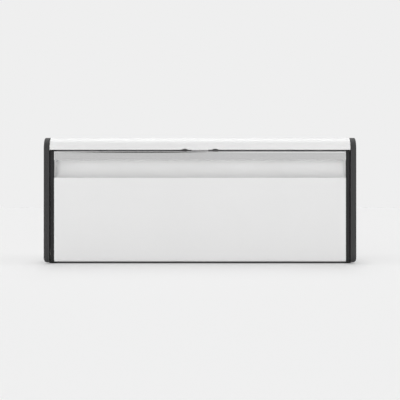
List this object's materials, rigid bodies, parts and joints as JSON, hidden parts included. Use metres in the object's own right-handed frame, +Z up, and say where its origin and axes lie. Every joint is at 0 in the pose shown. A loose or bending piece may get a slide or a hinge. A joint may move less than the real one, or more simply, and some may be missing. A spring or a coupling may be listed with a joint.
{
  "type": "bread box",
  "caption": "Fall-front bread box: a white steel shell between dark moulded sides, with a bottom-hinged door, a full-width finger channel and a steel lip.",
  "frame": {"origin": "under the middle of the box, on the worktop it stands on", "axes": "+Z up, the front and its door face -Y, +X to the right seen from the front"},
  "size_m": [0.4664, 0.25, 0.189],
  "materials": {
    "lacquered_steel": "white lacquer, satin gloss",
    "dark_plastic": "dark grey moulded plastic, fine texture",
    "brushed_steel": "stainless steel brushed along its length",
    "zinc_steel": "bright zinc plating",
    "rubber": "black rubber",
    "acetal": "off-white acetal"
  },
  "bodies": {
    "body": {"top_back_shell": "lacquered_steel", "floor_pan": "lacquered_steel", "left_side_wall": "lacquered_steel", "right_side_wall": "lacquered_steel", "left_side_panel": "dark_plastic", "right_side_panel": "dark_plastic", "catch_leaf": "brushed_steel", "left_catch_rivet": "zinc_steel", "right_catch_rivet": "zinc_steel", "left_hinge_pin": "zinc_steel", "right_hinge_pin": "zinc_steel", "left_front_floor_screw": "zinc_steel", "right_front_floor_screw": "zinc_steel", "left_rear_floor_screw": "zinc_steel", "right_rear_floor_screw": "zinc_steel", "left_lower_back_screw": "zinc_steel", "right_lower_back_screw": "zinc_steel", "left_upper_back_screw": "zinc_steel", "right_upper_back_screw": "zinc_steel", "left_front_wall_screw": "zinc_steel", "right_front_wall_screw": "zinc_steel", "left_rear_wall_screw": "zinc_steel", "right_rear_wall_screw": "zinc_steel", "left_lower_wall_screw": "zinc_steel", "right_lower_wall_screw": "zinc_steel", "left_door_bumper": "rubber", "right_door_bumper": "rubber", "left_front_foot": "rubber", "right_front_foot": "rubber", "left_rear_foot": "rubber", "right_rear_foot": "rubber"},
    "door": {"door_panel": "lacquered_steel", "grip_rail": "brushed_steel", "left_door_end_cap": "dark_plastic", "right_door_end_cap": "dark_plastic", "left_hinge_bush": "acetal", "right_hinge_bush": "acetal", "left_lower_door_screw": "zinc_steel", "right_lower_door_screw": "zinc_steel", "left_upper_door_screw": "zinc_steel", "right_upper_door_screw": "zinc_steel"}
  },
  "joints": [
    {"name": "door_hinge", "type": "hinge", "parent": "body", "child": "door", "pos_m": [0, -0.112, 0.017], "axis": [1, 0, 0], "range_deg": [0, 90]}
  ]
}
